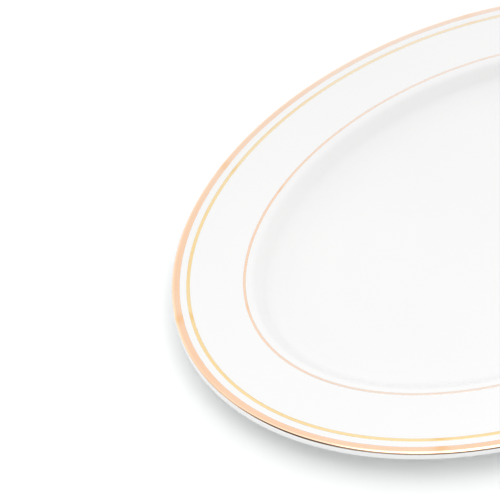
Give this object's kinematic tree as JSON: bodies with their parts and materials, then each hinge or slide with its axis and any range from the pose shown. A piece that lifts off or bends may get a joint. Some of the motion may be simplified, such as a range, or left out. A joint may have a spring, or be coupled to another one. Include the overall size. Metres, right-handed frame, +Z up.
{
  "type": "serving platter",
  "caption": "Oval white glazed china serving platter with a broad rim, a shallow flat well, a foot ring and gilt lines on the rim.",
  "frame": {"origin": "on the table under the middle of the platter", "axes": "+X along the platter's length, +Z up out of the well"},
  "size_m": [0.356, 0.265, 0.022],
  "materials": {
    "biscuit_china": "matte",
    "white_glaze": "gloss",
    "rose_gold": "polished",
    "yellow_gold": "polished"
  },
  "bodies": {
    "root": {"china_body": "biscuit_china", "glaze_coat": "white_glaze", "foot_recess_glaze": "white_glaze", "edge_gilding": "rose_gold", "inner_gold_line": "yellow_gold", "verge_gold_line": "rose_gold"}
  },
  "joints": []
}
